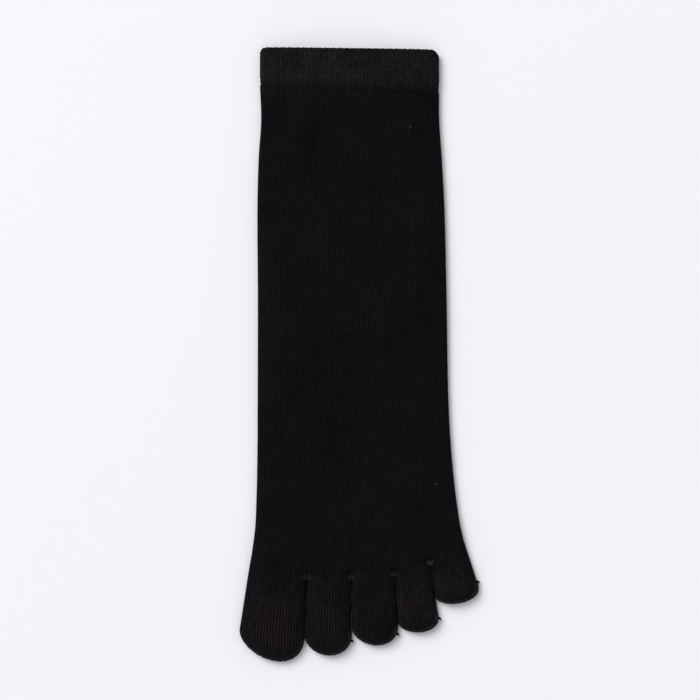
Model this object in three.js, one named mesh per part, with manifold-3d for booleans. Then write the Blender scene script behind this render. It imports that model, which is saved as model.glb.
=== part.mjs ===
// A toe sock for the left foot, lying flat with its instep up. A folded elastic cuff ends the leg,
// leg and foot are one flat tube that meets at the ankle, a heel pocket is tucked flat under the leg,
// and five toe sleeves carry on from the foot. Every piece is a hollow wall of knitted cloth.
// Millimetres. X runs across the sock from big toe to little toe, Y from toes to cuff, Z is up.
import * as THREE from "three";
import { mergeVertices } from "three/addons/utils/BufferGeometryUtils.js";
import Module from "manifold-3d";

const wasm = await Module();
wasm.setup();

// Driving dimensions.
const CUFF_WIDTH = 93.2; // flat width of the mouth
const CUFF_HEIGHT = 20;
const CUFF_WALL = 2.0; // the welt is folded double over elastic yarn
const CUFF_THICKNESS = 9.6; // both walls and the space that the mouth keeps between them
const CUFF_SLOPE = 1.2; // how far the mouth's edge drops towards the little toe's side
const CUFF_CORNER = 1.7; // rounding of the mouth's two corners
const LEG_WIDTH = 98.2;
const LEG_THICKNESS = 8.6;
const BALL_WIDTH = 118.8; // the foot's width where the toes begin
const TUBE_LENGTH = 257; // from the cuff to the roots of the middle toes
const TOE_LINE_DROP = 20; // how much sooner the tube ends on the little toe's side
const KNIT_WALL = 1.3; // one layer of knitted cotton
const FOLD_RADIUS = 1.9; // outer radius of the fold down each side
const TOE_LENGTH = 43; // the big toe, root to tip
const TOE_THICKNESS = 8;
const TOE_FOLD_RADIUS = 1.8;
const TOE_ROOT = 24; // how far back each toe's puff runs into the foot
const ROOT_THICKNESS = 0.35; // share of a toe's thickness that its puff starts with
const EDGE_SET_IN = 0.2; // how far the outermost toes stay inside the foot's edge
const SLIT = 0.8; // air between two neighbouring toes
const WEB_DEPTH = 15; // stretch over which the foot closes down to the stitched webs
const HEEL_WIDTH = 84;
const HEEL_DEPTH = 36; // from the pocket's fold to its tip
const HEEL_SPACE = 0.6; // between the two walls of the pressed pocket
const HEEL_FROM_CUFF = 119; // where the pocket folds away from the leg
const HEEL_RAMP = 26; // how gently the leg climbs on to the pocket
const HEEL_SHOW = 3; // how much of the pocket's thickness shows through on top
const DENT_DEPTH = 1.2; // the deepest of the dents under the cuff
const JOINT_GAP = 0.3; // kept between two pieces that are knitted together

// Where the tube's width comes from at each place: shares of the three named widths, with the
// centre line's drift towards the little toe as a share of BALL_WIDTH.
const TUBE_OUTLINE = [
  { down: 0.0, cuff: 1.0, leg: 0.0, ball: 0.0, drift: 0.002 },
  { down: 0.069, cuff: 0.994, leg: 0.0, ball: 0.0, drift: 0.005 },
  { down: 0.142, cuff: 0.62, leg: 0.38, ball: 0.0, drift: 0.005 },
  { down: 0.239, cuff: 0.2, leg: 0.8, ball: 0.0, drift: 0.008 },
  { down: 0.433, cuff: 0.0, leg: 1.0, ball: 0.0, drift: 0.014 },
  { down: 0.652, cuff: 0.0, leg: 0.94, ball: 0.06, drift: 0.018 },
  { down: 0.749, cuff: 0.0, leg: 0.86, ball: 0.14, drift: 0.024 },
  { down: 0.846, cuff: 0.0, leg: 0.7, ball: 0.3, drift: 0.033 },
  { down: 0.895, cuff: 0.0, leg: 0.57, ball: 0.43, drift: 0.039 },
  { down: 0.943, cuff: 0.0, leg: 0.33, ball: 0.67, drift: 0.046 },
  { down: 1.0, cuff: 0.0, leg: 0.0, ball: 1.0, drift: 0.054 },
  { down: 1.04, cuff: 0.0, leg: -0.16, ball: 1.16, drift: 0.058 },
];

// One row for each toe: its share of the toe line, the lengths of its two sides and of its round
// nose as shares of TOE_LENGTH, how far the slit on its little-toe side leans (sideways over
// length), how far its nose leans, and its thickness as a share of TOE_THICKNESS.
const TOES = [
  { name: "big_toe", share: 0.263, inner: 0.58, outer: 0.69, nose: 0.33, lean: -0.04, tip: 0.085, puff: 1.06 },
  { name: "second_toe", share: 0.194, inner: 0.69, outer: 0.61, nose: 0.26, lean: 0, tip: 0.03, puff: 1 },
  { name: "third_toe", share: 0.192, inner: 0.56, outer: 0.6, nose: 0.225, lean: 0.06, tip: 0.03, puff: 1 },
  { name: "fourth_toe", share: 0.165, inner: 0.55, outer: 0.59, nose: 0.175, lean: 0.17, tip: 0.045, puff: 0.97 },
  { name: "little_toe", share: 0.186, inner: 0.39, outer: 0.47, nose: 0.185, lean: 0.32, tip: 0.075, puff: 0.98 },
];
const BIG_TOE_EDGE_LEAN = -0.155; // the sock's edge beside the big toe

// Soft dents and ridges of the cloth under the cuff: their place as shares of the leg's half width
// and TUBE_LENGTH, their size as shares of LEG_WIDTH, their turn in degrees, and their height as a
// share of DENT_DEPTH, below zero for a dent.
const DENTS = [
  { across: -0.78, down: 0.05, wide: 0.11, long: 0.075, turn: 25, height: -1 },
  { across: -0.52, down: 0.078, wide: 0.07, long: 0.12, turn: 20, height: 0.7 },
  { across: -0.34, down: 0.108, wide: 0.065, long: 0.16, turn: 12, height: -0.8 },
  { across: 0.72, down: 0.035, wide: 0.08, long: 0.07, turn: -10, height: -0.6 },
];

// Fineness of the facets.
const TUBE_COLUMNS = 22;
const TOE_COLUMNS = 12;
const HEEL_COLUMNS = 14;
const NOSE_RINGS = 5;
const NOSE_BEND = 1.6; // above 1, a nose leaves its toe's sides smoothly and leans further on
const CORNER_RINGS = 3;

// Values that follow from the driving dimensions.
const CUFF_FOLD_RADIUS = CUFF_WALL + JOINT_GAP;
const WEB_THICKNESS = 2 * KNIT_WALL;
const HEEL_THICKNESS = 2 * KNIT_WALL + HEEL_SPACE;
const HEEL_LIFT = HEEL_THICKNESS + JOINT_GAP;
const HEEL_SIDE = 0.88; // share of the half width over which the leg lies on the pocket
const ANKLE_FROM_CUFF = HEEL_FROM_CUFF + 2 * KNIT_WALL; // where leg and foot meet

// A smooth curve through one column of a table that is ordered by its down column.
function smoothColumn(rows, column) {
  const curve = new THREE.CubicInterpolant(rows.map((row) => row.down), rows.map(column), 1);
  return (down) => curve.evaluate(down)[0];
}

const halfWidthAt = smoothColumn(
  TUBE_OUTLINE,
  (row) => (CUFF_WIDTH * row.cuff + LEG_WIDTH * row.leg + BALL_WIDTH * row.ball) / 2,
);
const driftAt = smoothColumn(TUBE_OUTLINE, (row) => BALL_WIDTH * row.drift);

// The plan position of the tube's cloth: along runs 0 to 1 from cuff to toe line and across runs
// -1 to 1 from the big toe's edge to the little toe's. The rows of knitting bend near the toes.
function tubePlan(along, across) {
  const sooner = TOE_LINE_DROP * Math.max(0, across) ** 2 * along ** 6;
  const down = TUBE_LENGTH * along - sooner;
  const share = down / TUBE_LENGTH;
  const x = driftAt(share) + halfWidthAt(share) * across;
  return new THREE.Vector2(x, -CUFF_HEIGHT - down);
}

// How far the cloth's edge curls up from the floor and over, at a distance in from the edge.
function foldRise(distance, radius) {
  const inFold = Math.max(0, radius - distance);
  return Math.sqrt(Math.max(0, radius * radius - inFold * inFold));
}

// Share of the full puff across a flat tube: nearly level in the middle, falling to its two folds.
function puffShare(across) {
  return Math.max(0, 1 - across ** 4) ** 0.7;
}

const smoothStep = THREE.MathUtils.smoothstep;

// Height of the dents and ridges at a place on the leg, fading out towards the side folds.
function dentHeight(along, across) {
  let height = 0;
  for (const dent of DENTS) {
    const turn = THREE.MathUtils.degToRad(dent.turn);
    const dx = ((across - dent.across) * LEG_WIDTH) / 2;
    const dy = (along - dent.down) * TUBE_LENGTH;
    const sideways = (dx * Math.cos(turn) + dy * Math.sin(turn)) / (dent.wide * LEG_WIDTH);
    const lengthways = (dy * Math.cos(turn) - dx * Math.sin(turn)) / (dent.long * LEG_WIDTH);
    height += dent.height * DENT_DEPTH * Math.exp(-(sideways ** 2) - lengthways ** 2);
  }
  return height * (1 - across ** 8);
}

// How far the leg's underside is lifted by the heel pocket below it. The cloth turns up steeply at
// the pocket's fold, and shift moves that turn so that the inner face keeps its distance.
function heelLift(yPlan, across, shift) {
  const fromCuff = -CUFF_HEIGHT - yPlan;
  const turnUp = HEEL_FROM_CUFF + shift;
  const tip = HEEL_FROM_CUFF - HEEL_DEPTH;
  const climb = smoothStep(fromCuff, tip - HEEL_RAMP, tip - 2 * JOINT_GAP);
  const turn = 1 - smoothStep(fromCuff, turnUp - KNIT_WALL / 2, turnUp + KNIT_WALL / 2);
  const side = 1 - smoothStep(Math.abs(across), HEEL_SIDE, 1);
  return HEEL_LIFT * climb * turn * side;
}

// The same lump as it shows through the instep, softened by the cloth above it.
function heelShow(yPlan, across) {
  const fromCuff = -CUFF_HEIGHT - yPlan;
  const tip = HEEL_FROM_CUFF - HEEL_DEPTH;
  const climb = smoothStep(fromCuff, tip - HEEL_RAMP, tip);
  const fall = 1 - smoothStep(fromCuff, HEEL_FROM_CUFF, HEEL_FROM_CUFF + 2 * HEEL_RAMP);
  return HEEL_SHOW * climb * fall * (1 - across ** 4);
}

// Column places across a flat section, closer together towards its two folded edges.
function columns(count) {
  return Array.from({ length: count + 1 }, (_, i) => -Math.cos((Math.PI * i) / count));
}

// One ring of a flat section: over the top from the left edge to the right, then back underneath.
function ring(count, topAt, bottomAt) {
  const places = columns(count);
  const over = places.map(topAt);
  const under = places.slice(1, -1).reverse().map(bottomAt);
  return [...over, ...under];
}

// One ring of the leg and foot tube, inset 0 for the outer face and KNIT_WALL for the inner one.
function tubeRing(along, inset) {
  const radius = FOLD_RADIUS - inset;
  const edge = halfWidthAt(along) - inset;
  const narrowing = edge / halfWidthAt(along);
  const closing = smoothStep((1 - along) * TUBE_LENGTH, 0, WEB_DEPTH);
  const crown = LEG_THICKNESS - 2 * FOLD_RADIUS;
  const full = (across) => {
    const rise = foldRise(edge * (1 - Math.abs(across)), radius);
    return rise + crown * puffShare(across);
  };
  const web = WEB_THICKNESS - FOLD_RADIUS - inset;
  const place = (across) => tubePlan(along, across * narrowing);
  const topAt = (across) => {
    const plan = place(across);
    const open = full(across) + dentHeight(along, across) + heelShow(plan.y, across);
    const rise = THREE.MathUtils.lerp(Math.min(web, full(across)), open, closing);
    return new THREE.Vector3(plan.x, plan.y, FOLD_RADIUS + rise);
  };
  const bottomAt = (across) => {
    const plan = place(across);
    const drop = foldRise(edge * (1 - Math.abs(across)), radius);
    return new THREE.Vector3(plan.x, plan.y, FOLD_RADIUS - drop + heelLift(plan.y, across, inset));
  };
  return ring(TUBE_COLUMNS, topAt, bottomAt);
}

// Stations of the tube as shares of its length: even steps, and the places where a form begins.
function tubeStations(first, last) {
  const heelTip = HEEL_FROM_CUFF - HEEL_DEPTH;
  const marks = [
    heelTip - HEEL_RAMP,
    heelTip - HEEL_RAMP / 2,
    heelTip - 2 * JOINT_GAP,
    HEEL_FROM_CUFF - KNIT_WALL / 2,
    HEEL_FROM_CUFF,
    HEEL_FROM_CUFF + KNIT_WALL / 2,
    HEEL_FROM_CUFF + (3 * KNIT_WALL) / 2,
    HEEL_FROM_CUFF + 2 * KNIT_WALL,
    HEEL_FROM_CUFF + HEEL_RAMP,
    HEEL_FROM_CUFF + 2 * HEEL_RAMP,
    TUBE_LENGTH - WEB_DEPTH,
    TUBE_LENGTH - (2 * WEB_DEPTH) / 3,
    TUBE_LENGTH - WEB_DEPTH / 3,
  ];
  const underCuff = DENTS.map((dent) => dent.down * TUBE_LENGTH);
  const steps = [0.06, 0.16, 0.55, 0.75, 0.83, 0.89].map((share) => share * TUBE_LENGTH);
  const shares = [...marks, ...underCuff, ...steps].map((mark) => mark / TUBE_LENGTH);
  const inside = shares.filter((share) => share > first && share < last);
  return [first, ...inside.sort((a, b) => a - b), last];
}

// Plan positions of the two ends of one station of a toe: back in the foot for station below 0,
// along the toe's straight sides from 0 to 1.
function toeEnds(toe, station) {
  if (station < 0) {
    const along = 1 + (station * TOE_ROOT) / TUBE_LENGTH;
    return setIn(toe, tubePlan(along, toe.from), tubePlan(along, toe.to));
  }
  const left = tubePlan(1, toe.from);
  const right = tubePlan(1, toe.to);
  const innerRun = toe.inner * TOE_LENGTH * station;
  const outerRun = toe.outer * TOE_LENGTH * station;
  left.add(new THREE.Vector2(innerRun * toe.innerLean, -innerRun));
  right.add(new THREE.Vector2(outerRun * toe.lean, -outerRun));
  return setIn(toe, left, right);
}

// Two plan ends moved in from the slits, or from the foot's edge for the outermost toes.
function setIn(toe, left, right) {
  const side = right.clone().sub(left).normalize();
  return [left.addScaledVector(side, toe.innerSetIn), right.addScaledVector(side, -toe.outerSetIn)];
}

// Rings of a closed, flat, round-nosed sleeve. ends(station) gives its two plan ends for stations
// up to 1. Past 1 the nose narrows as half an ellipse to a single point.
function sleeveRings({ ends, stations, noseLength, noseLean, topRise, foldRadius, inset, count }) {
  const radius = foldRadius - inset;
  const makeRing = (centre, side, half, nose, station) => {
    const reachAt = (across) => Math.min(1, Math.sqrt(nose ** 2 + across ** 2 * (1 - nose ** 2)));
    const spread = half * Math.sqrt(1 - nose ** 2);
    const at = (across, heightAt) => {
      const plan = centre.clone().addScaledVector(side, across * spread);
      return new THREE.Vector3(plan.x, plan.y, foldRadius + heightAt(reachAt(across)));
    };
    const over = (reach) => topRise(half, reach, station);
    const under = (reach) => -foldRise(half * (1 - reach), radius);
    return ring(count, (across) => at(across, over), (across) => at(across, under));
  };
  const measure = (station) => {
    const [left, right] = ends(station);
    const centre = left.clone().add(right).multiplyScalar(0.5);
    const side = right.clone().sub(left);
    const half = side.length() / 2 - inset;
    return { centre, side: side.normalize(), half };
  };
  const rings = stations.map((station) => {
    const { centre, side, half } = measure(station);
    return makeRing(centre, side, half, 0, station);
  });
  const { centre, side, half } = measure(1);
  const forward = new THREE.Vector2(side.y, -side.x);
  const reachOf = noseLength - inset;
  const middleAt = (nose) =>
    centre
      .clone()
      .addScaledVector(forward, nose * reachOf)
      .addScaledVector(side, noseLean * nose ** NOSE_BEND * reachOf);
  for (let i = 1; i < NOSE_RINGS; i += 1) {
    const nose = Math.sin((Math.PI / 2) * (i / NOSE_RINGS));
    rings.push(makeRing(middleAt(nose), side, half, nose, 1));
  }
  const tip = middleAt(1);
  rings.push([new THREE.Vector3(tip.x, tip.y, foldRadius)]);
  return rings;
}

// A closed solid through rings of equal size. A last ring of one point closes to a tip, and any
// other end is closed by the strip between its upper and its lower edge.
function loft(rings) {
  const positions = rings.flat().flatMap((point) => point.toArray());
  const size = rings[0].length;
  const faces = [];
  const quad = (a, b, c, d) => faces.push(a, b, c, a, c, d);
  for (let r = 0; r + 1 < rings.length; r += 1) {
    for (let i = 0; i < size; i += 1) {
      const next = (i + 1) % size;
      const near = r * size;
      if (rings[r + 1].length === 1) faces.push(near + i, near + next, near + size);
      else quad(near + i, near + next, near + size + next, near + size + i);
    }
  }
  const cap = (start, facingBack) => {
    for (let i = 0; i < size / 2; i += 1) {
      const top = [start + i, start + i + 1];
      const under = [start + ((size - i) % size), start + size - i - 1];
      const corners = [top[0], top[1], under[1], under[0]].filter((v, k, all) => all.indexOf(v) === k);
      for (let k = 1; k + 1 < corners.length; k += 1) {
        const face = [corners[0], corners[k], corners[k + 1]];
        faces.push(...(facingBack ? face.reverse() : face));
      }
    }
  };
  cap(0, true);
  if (rings.at(-1).length === size) cap((rings.length - 1) * size, false);
  const geometry = new THREE.BufferGeometry();
  geometry.setAttribute("position", new THREE.Float32BufferAttribute(positions, 3));
  geometry.setIndex(faces);
  return toSolid(geometry);
}

// A three.js geometry as a solid that can be cut and joined, with its faces turned outwards.
function toSolid(geometry) {
  const bare = geometry.clone();
  bare.deleteAttribute("normal");
  bare.deleteAttribute("uv");
  const merged = mergeVertices(bare, 1e-4);
  const triVerts = new Uint32Array(merged.index.array);
  const vertProperties = new Float32Array(merged.attributes.position.array);
  const solid = new wasm.Manifold(new wasm.Mesh({ numProp: 3, vertProperties, triVerts }));
  if (solid.volume() > 0) return solid;
  return new wasm.Manifold(new wasm.Mesh({ numProp: 3, vertProperties, triVerts: triVerts.reverse() }));
}

function toGeometry(solid) {
  const mesh = solid.getMesh();
  const geometry = new THREE.BufferGeometry();
  geometry.setAttribute("position", new THREE.Float32BufferAttribute(mesh.vertProperties, 3));
  geometry.setIndex(new THREE.BufferAttribute(mesh.triVerts, 1));
  geometry.computeVertexNormals();
  return geometry;
}

// Everything on the toes' side of the toe line, moved that far towards the toes.
function toeSide(gap) {
  const far = 2 * BALL_WIDTH;
  const line = columns(TUBE_COLUMNS).map((across) => tubePlan(1, across));
  const first = line[0];
  const last = line.at(-1);
  const outline = [
    new THREE.Vector2(-far, first.y),
    ...line,
    new THREE.Vector2(far, last.y),
    new THREE.Vector2(far, first.y - far),
    new THREE.Vector2(-far, first.y - far),
  ];
  const depth = 4 * LEG_THICKNESS;
  const geometry = new THREE.ExtrudeGeometry(new THREE.Shape(outline), { depth, bevelEnabled: false });
  geometry.translate(0, -gap, -depth / 2);
  return toSolid(geometry);
}

// Everything on the toes' side of the ankle, moved that far towards the toes.
function footSide(gap) {
  const length = 2 * TUBE_LENGTH;
  const geometry = new THREE.BoxGeometry(2 * BALL_WIDTH, length, 8 * LEG_THICKNESS);
  geometry.translate(0, -CUFF_HEIGHT - ANKLE_FROM_CUFF - gap - length / 2, 0);
  return toSolid(geometry);
}

// The toes with their places on the toe line worked out from their shares of it.
function placedToes() {
  let from = -1;
  let innerLean = BIG_TOE_EDGE_LEAN;
  return TOES.map((row, i) => {
    const innerSetIn = i === 0 ? EDGE_SET_IN : SLIT / 2;
    const outerSetIn = i === TOES.length - 1 ? EDGE_SET_IN : SLIT / 2;
    const toe = { ...row, from, to: from + 2 * row.share, innerLean, innerSetIn, outerSetIn };
    from = toe.to;
    innerLean = row.lean;
    return toe;
  });
}

// A toe's whole sleeve, from its root inside the foot to its tip. Its puff grows along the root.
function toeSleeve(toe, inset) {
  const topRise = (half, reach, station) => {
    const grown = THREE.MathUtils.lerp(ROOT_THICKNESS, 1, smoothStep(station, -1, 0));
    const crown = grown * toe.puff * TOE_THICKNESS - TOE_FOLD_RADIUS - inset;
    return Math.max(JOINT_GAP, crown) * Math.sqrt(1 - reach ** 2.6);
  };
  return loft(
    sleeveRings({
      ends: (station) => toeEnds(toe, station),
      stations: [-1, -0.7, -0.4, -0.15, 0, 1],
      noseLength: toe.nose * TOE_LENGTH,
      noseLean: toe.tip / toe.nose,
      topRise,
      foldRadius: TOE_FOLD_RADIUS,
      inset,
      count: TOE_COLUMNS,
    }),
  );
}

// The cuff: a flat ring with both ends open and its mouth's corners rounded.
function cuffSolid() {
  const crown = CUFF_THICKNESS - 2 * CUFF_FOLD_RADIUS;
  const cuffRing = (down, inset) => {
    const edge = CUFF_WIDTH / 2 - inset;
    const slope = Math.max(0, 1 - down / CUFF_HEIGHT) * CUFF_SLOPE;
    const rise = (across) => foldRise(edge * (1 - Math.abs(across)), Math.max(CUFF_FOLD_RADIUS - inset, JOINT_GAP));
    const at = (across, height) =>
      new THREE.Vector3(driftAt(0) + edge * across, -down - (slope * (across + 1)) / 2, CUFF_FOLD_RADIUS + height);
    return ring(
      TUBE_COLUMNS,
      (across) => at(across, rise(across) + crown * puffShare(across)),
      (across) => at(across, -rise(across)),
    );
  };
  const mouth = [];
  for (let i = 0; i < CORNER_RINGS; i += 1) {
    const turn = ((Math.PI / 2) * i) / CORNER_RINGS;
    mouth.push(cuffRing(CUFF_CORNER * (1 - Math.cos(turn)), CUFF_CORNER * (1 - Math.sin(turn))));
  }
  const outer = loft([...mouth, cuffRing(CUFF_CORNER, 0), cuffRing(CUFF_HEIGHT - JOINT_GAP, 0)]);
  const inner = loft([cuffRing(-CUFF_CORNER, CUFF_WALL), cuffRing(CUFF_HEIGHT + CUFF_CORNER, CUFF_WALL)]);
  return outer.subtract(inner);
}

// The heel pocket: a flat half-round pouch, open at the fold where it meets the leg and foot.
function heelSolid() {
  const fold = -CUFF_HEIGHT - HEEL_FROM_CUFF + KNIT_WALL / 2 + JOINT_GAP;
  const centre = tubePlan(HEEL_FROM_CUFF / TUBE_LENGTH, 0).x;
  const pouch = (inset, back) =>
    loft(
      sleeveRings({
        ends: (station) => {
          const y = fold - back * (1 - station);
          return [new THREE.Vector2(centre + HEEL_WIDTH / 2, y), new THREE.Vector2(centre - HEEL_WIDTH / 2, y)];
        },
        stations: [0, 1],
        noseLength: HEEL_DEPTH - JOINT_GAP - KNIT_WALL / 2,
        noseLean: 0,
        topRise: (half, reach) => foldRise(half * (1 - reach), HEEL_THICKNESS / 2 - inset),
        foldRadius: HEEL_THICKNESS / 2,
        inset,
        count: HEEL_COLUMNS,
      }),
    );
  const beyond = new THREE.BoxGeometry(2 * HEEL_WIDTH, HEEL_DEPTH, 4 * HEEL_THICKNESS);
  beyond.translate(centre, fold - HEEL_DEPTH / 2, 0);
  return pouch(0, KNIT_WALL).subtract(toSolid(beyond)).subtract(pouch(KNIT_WALL, KNIT_WALL * 2));
}

// The slot through which the foot's hollow runs on into the heel pocket.
function heelSlot() {
  const width = HEEL_WIDTH - 2 * KNIT_WALL;
  const reach = 4 * KNIT_WALL;
  const slot = new THREE.BoxGeometry(width, reach, HEEL_SPACE);
  const centre = tubePlan(HEEL_FROM_CUFF / TUBE_LENGTH, 0);
  slot.translate(centre.x, centre.y - reach / 4, HEEL_THICKNESS / 2);
  return toSolid(slot);
}

// The leg and foot: the plain tube joined with the toes' roots, hollowed, and cut at the toe line.
function tubeSolid(toes) {
  const past = 1 + (2 * KNIT_WALL) / TUBE_LENGTH;
  const hollowEnd = 1 - (2 * KNIT_WALL) / TUBE_LENGTH;
  let outer = loft(tubeStations(0, past).map((along) => tubeRing(along, 0)));
  let inner = loft(tubeStations(-CUFF_WALL / TUBE_LENGTH, hollowEnd).map((along) => tubeRing(along, KNIT_WALL)));
  for (const toe of toes) {
    outer = outer.add(toeSleeve(toe, 0));
    inner = inner.add(toeSleeve(toe, KNIT_WALL));
  }
  return outer.subtract(inner).subtract(heelSlot()).subtract(toeSide(0));
}

const knit = new THREE.MeshStandardMaterial({ color: 0x131215, roughness: 0.95, metalness: 0 });
const welt = new THREE.MeshStandardMaterial({ color: 0x19181b, roughness: 0.9, metalness: 0 });

function piece(name, solid, material) {
  const mesh = new THREE.Mesh(toGeometry(solid), material);
  mesh.name = name;
  return mesh;
}

const toes = placedToes();
const toeRegion = toeSide(JOINT_GAP);
const sock = new THREE.Group();
sock.name = "toe_sock";
sock.add(piece("cuff", cuffSolid(), welt));
const tube = tubeSolid(toes);
sock.add(piece("leg", tube.subtract(footSide(0)), knit));
sock.add(piece("heel_pocket", heelSolid(), knit));
sock.add(piece("foot", tube.intersect(footSide(JOINT_GAP)), knit));
for (const toe of toes) {
  const sleeve = toeSleeve(toe, 0).subtract(toeSleeve(toe, KNIT_WALL)).intersect(toeRegion);
  sock.add(piece(toe.name, sleeve, knit));
}

// The origin is the middle of the sock's footprint, on the surface that it lies on.
const reach = new THREE.Box3().setFromObject(sock, true);
const middle = reach.getCenter(new THREE.Vector3());
sock.position.set(-middle.x, -middle.y, -reach.min.z);

export default sock;
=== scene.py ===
# %% [markdown]
# A black toe sock, lying flat with its instep up
# A sock for the left foot is laid on a pale surface. A folded elastic cuff ends the leg, leg and
# foot are one plain-knitted tube, the heel pocket is tucked flat underneath, and five toe sleeves
# carry on from the foot. A knitted thing like this could be sculpted, simulated or worked out from
# formulas. It is worked out here, because every rib then follows the sock's own outline, from the
# cuff down into each toe, as it does on the real one.
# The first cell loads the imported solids, which give the place and size of everything below.

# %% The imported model
from math import radians

import bpy
import numpy as np
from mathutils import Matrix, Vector


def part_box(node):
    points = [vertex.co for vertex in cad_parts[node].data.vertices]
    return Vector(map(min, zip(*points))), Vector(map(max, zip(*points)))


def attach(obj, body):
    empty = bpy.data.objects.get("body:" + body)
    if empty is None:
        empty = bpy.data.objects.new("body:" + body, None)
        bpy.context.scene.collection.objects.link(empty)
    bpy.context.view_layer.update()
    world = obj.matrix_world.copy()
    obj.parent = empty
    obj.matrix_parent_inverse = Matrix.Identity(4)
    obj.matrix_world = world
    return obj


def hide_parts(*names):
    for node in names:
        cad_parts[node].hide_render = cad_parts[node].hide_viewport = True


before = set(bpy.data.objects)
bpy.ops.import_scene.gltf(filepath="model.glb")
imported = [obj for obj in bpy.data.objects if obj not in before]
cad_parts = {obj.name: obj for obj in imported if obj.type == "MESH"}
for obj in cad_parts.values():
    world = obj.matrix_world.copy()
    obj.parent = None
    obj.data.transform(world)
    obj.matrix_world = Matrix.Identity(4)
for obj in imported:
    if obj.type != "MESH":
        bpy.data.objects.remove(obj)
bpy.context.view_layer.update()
MM = 0.001

# %% [markdown]
# The camera looks straight down
# The sock is seen from straight above, so the camera points down and its top is the cuff's side. A
# long lens from far away keeps the sides from leaning. The lens follows from two things: how high
# the camera stands and how wide a stretch of the surface its picture shows.

# %% Camera
# Lengths here are in metres.
CAMERA_HEIGHT = 2.0
PICTURE_WIDTH = 0.364  # stretch of the surface that the picture shows
PICTURE_MIDDLE = (-0.0048, 0.0022)
SENSOR = 36.0

scene = bpy.context.scene


def put_in_scene(name, data, place=(0, 0, 0)):
    made = bpy.data.objects.new(name, data)
    made.location = place
    scene.collection.objects.link(made)
    return made


camera_data = bpy.data.cameras.new("camera_above")
camera_data.sensor_width = SENSOR
camera_data.lens = SENSOR * CAMERA_HEIGHT / PICTURE_WIDTH
scene.camera = put_in_scene("camera_above", camera_data, (*PICTURE_MIDDLE, CAMERA_HEIGHT))
scene.view_settings.view_transform = "Standard"
print("lens", round(camera_data.lens, 1), "mm")

# %% [markdown]
# Light for black cloth on a white surface
# Black cotton shows its ribs only where light grazes them. An even pale surround stands for a bright
# room and keeps the shadows soft. One large lamp, high and far beyond the cuff's left corner, picks
# out one flank of each rib. A small hard lamp would draw the ribs too sharply and throw a hard shadow,
# and a near one would leave the far corner of the surface dark.

# %% Surround and lamp
SURROUND_STRENGTH = 0.62
SURROUND_COLOUR = (0.985, 0.99, 1.0)
LAMP_PLACE = Vector((-4.2, 4.4, 6.6))
LAMP_SIZE = 5.0
LAMP_POWER = 630.0
LAMP_COLOUR = (1.0, 0.99, 0.97)

world = bpy.data.worlds.new("pale_room")
world.use_nodes = True
background = world.node_tree.nodes["Background"]
background.inputs["Color"].default_value = (*SURROUND_COLOUR, 1.0)
background.inputs["Strength"].default_value = SURROUND_STRENGTH
scene.world = world

lamp_data = bpy.data.lights.new("window_lamp", "AREA")
lamp_data.size = LAMP_SIZE
lamp_data.energy = LAMP_POWER
lamp_data.color = LAMP_COLOUR
lamp = put_in_scene("window_lamp", lamp_data, LAMP_PLACE)
lamp.rotation_euler = (-LAMP_PLACE).to_track_quat("-Z", "Y").to_euler()
lamp.visible_camera = False

# %% [markdown]
# Building materials from nodes
# A material here is a small graph: some nodes make patterns, and the shader at the end turns them
# into a surface. The first helper adds one node, sets its options and joins its inputs, so that each
# material below reads as a short list of steps. The smaller ones do the same for a calculation, for
# soft noise and for a mix of two tones.

# %% Helpers for nodes
def add_node(tree, kind, inputs=(), **options):
    """One node with its options set. A socket given as an input is linked, and any other value is set."""
    made = tree.nodes.new(kind)
    for option, value in options.items():
        setattr(made, option, value)
    for name, value in dict(inputs).items():
        if isinstance(value, bpy.types.NodeSocket):
            tree.links.new(value, made.inputs[name])
        else:
            made.inputs[name].default_value = value
    return made


def calculate(tree, operation, first, second=0.0, third=0.0):
    """The result of one calculation on up to three numbers or sockets."""
    inputs = {0: first, 1: second, 2: third}
    return add_node(tree, "ShaderNodeMath", inputs, operation=operation).outputs[0]


def noise(tree, place, scale, detail, roughness=0.5):
    inputs = {"Vector": place, "Scale": scale, "Detail": detail, "Roughness": roughness}
    return add_node(tree, "ShaderNodeTexNoise", inputs).outputs["Fac"]


def mix_tones(tree, share, first, second, clamp=True):
    inputs = {"Factor": share, "A": first, "B": second}
    mix = add_node(tree, "ShaderNodeMix", inputs, data_type="RGBA", clamp_factor=clamp)
    return mix.outputs["Result"]


def new_material(name):
    """An empty material with its shader, and the tree that feeds it."""
    material = bpy.data.materials.new(name)
    material.use_nodes = True
    return material, material.node_tree, material.node_tree.nodes["Principled BSDF"]


# %% [markdown]
# The surface it lies on
# The floor is a wide plain sheet just under the sock. It is nearly white and a little cool, with a
# very faint mottle so that it isn't one dead tone.

# %% Floor
FLOOR_SIZE = 6.0
FLOOR_DROP = 0.05 * MM
PAPER_DARK = (0.792, 0.801, 0.832, 1.0)
PAPER_LIGHT = (0.802, 0.811, 0.840, 1.0)
PAPER_MOTTLE = (9.0, 3.0)  # scale and detail

paper, tree, shader = new_material("pale_paper")
place = add_node(tree, "ShaderNodeTexCoord").outputs["Object"]
tone = mix_tones(tree, noise(tree, place, *PAPER_MOTTLE), PAPER_DARK, PAPER_LIGHT)
tree.links.new(tone, shader.inputs["Base Color"])
shader.inputs["Roughness"].default_value = 0.9
shader.inputs["Specular IOR Level"].default_value = 0.1

bpy.ops.mesh.primitive_plane_add(size=FLOOR_SIZE, location=(0, 0, -FLOOR_DROP))
floor = bpy.context.object
floor.name = "pale_surface"
floor.data.materials.append(paper)

# %% [markdown]
# The sock's sizes
# The sizes below are those of the sock's solids, in millimetres. The tube's outline is a table: at
# each distance down from the cuff, its width is a mix of three named widths, and its middle drifts
# sideways. A smooth curve runs through each of the two.

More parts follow.
